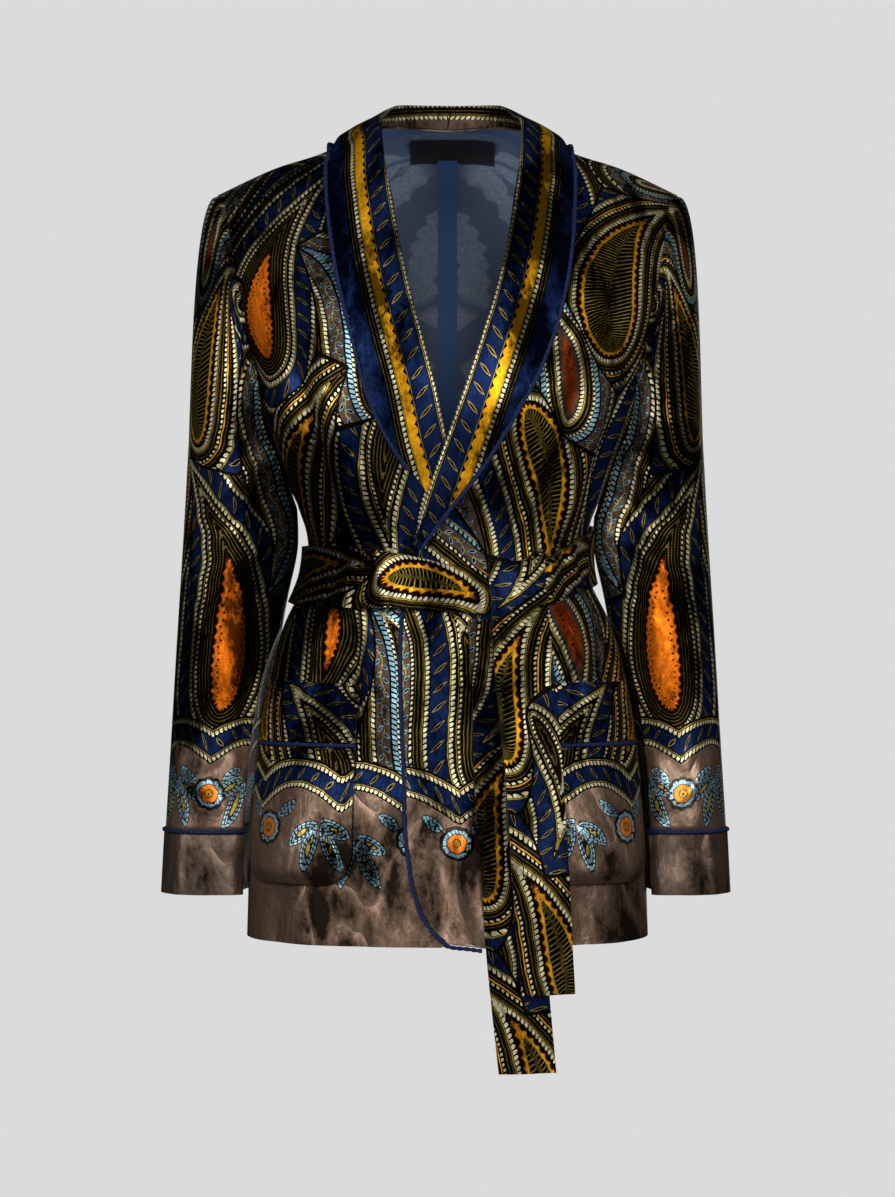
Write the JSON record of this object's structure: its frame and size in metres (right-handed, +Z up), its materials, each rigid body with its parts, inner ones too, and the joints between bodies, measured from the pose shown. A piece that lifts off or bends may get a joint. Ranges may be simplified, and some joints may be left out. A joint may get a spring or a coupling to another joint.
{
  "type": "velvet jacket",
  "caption": "Belted velvet jacket with a shawl collar, corded edges, patch pockets and plain cuffs, hollow and shaped as if worn, in a paisley print on dark brown.",
  "frame": {"origin": "between the shoulders, at the level where the shoulder seams reach the neck; the wearer's shoulders hold the jacket there", "axes": "+Z up, the front faces -Y, the wearer's left is +X"},
  "size_m": [0.5132, 0.2751, 0.8624],
  "materials": {
    "printed_velvet": "velvet with a printed paisley pattern",
    "brown_velvet": "plain brown velvet with a worked pile",
    "navy_velvet": "plain navy velvet tape",
    "navy_cord": "twisted navy cord",
    "navy_lining": "thin navy lining",
    "black_label": "bare black woven label"
  },
  "bodies": {
    "root": {"back_left": "printed_velvet", "back_right": "printed_velvet", "front_left": "printed_velvet", "front_right": "printed_velvet", "collar_left": "printed_velvet", "collar_right": "printed_velvet", "sleeve_left": "printed_velvet", "sleeve_right": "printed_velvet", "pocket_left": "printed_velvet", "pocket_right": "printed_velvet", "pocket_band_left": "printed_velvet", "pocket_band_right": "printed_velvet", "belt": "printed_velvet", "belt_tail_front": "printed_velvet", "belt_tail_back": "printed_velvet", "cuff_left": "brown_velvet", "cuff_right": "brown_velvet", "back_seam_tape": "navy_velvet", "front_piping_left": "navy_cord", "collar_piping_left": "navy_cord", "collar_piping_right": "navy_cord", "cuff_piping_left": "navy_cord", "cuff_piping_right": "navy_cord", "pocket_piping_left": "navy_cord", "pocket_piping_right": "navy_cord", "back_lining": "navy_lining", "neck_label": "black_label"}
  },
  "joints": []
}
